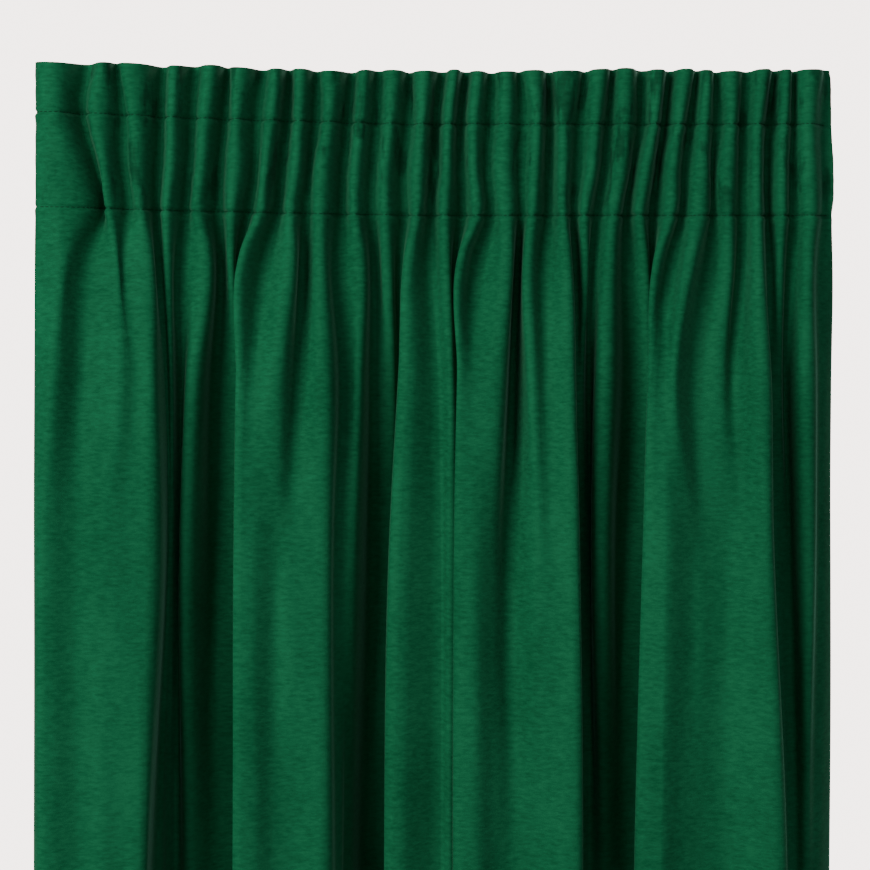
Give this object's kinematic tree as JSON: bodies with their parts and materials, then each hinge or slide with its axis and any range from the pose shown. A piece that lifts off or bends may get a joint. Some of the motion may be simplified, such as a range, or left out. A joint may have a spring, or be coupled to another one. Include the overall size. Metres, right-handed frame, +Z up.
{
  "type": "gathered velvet curtain panel",
  "caption": "Long velvet curtain panel, gathered at a two-row sewn heading with a frill above it, hanging in deep uneven folds to a hemmed foot.",
  "frame": {"origin": "middle of the panel's top edge, on the line that it is held along", "axes": "+Z up, with the panel hanging towards -Z; +X along the heading, to the viewer's right; +Y away from the viewer, so the front faces -Y"},
  "size_m": [0.6643, 0.1832, 2.1344],
  "materials": {
    "velvet": "emerald-green velvet with a short brushed pile, a soft sheen along the fold edges and very dark hollows"
  },
  "bodies": {
    "root": {"velvet_panel": "velvet"}
  },
  "joints": []
}
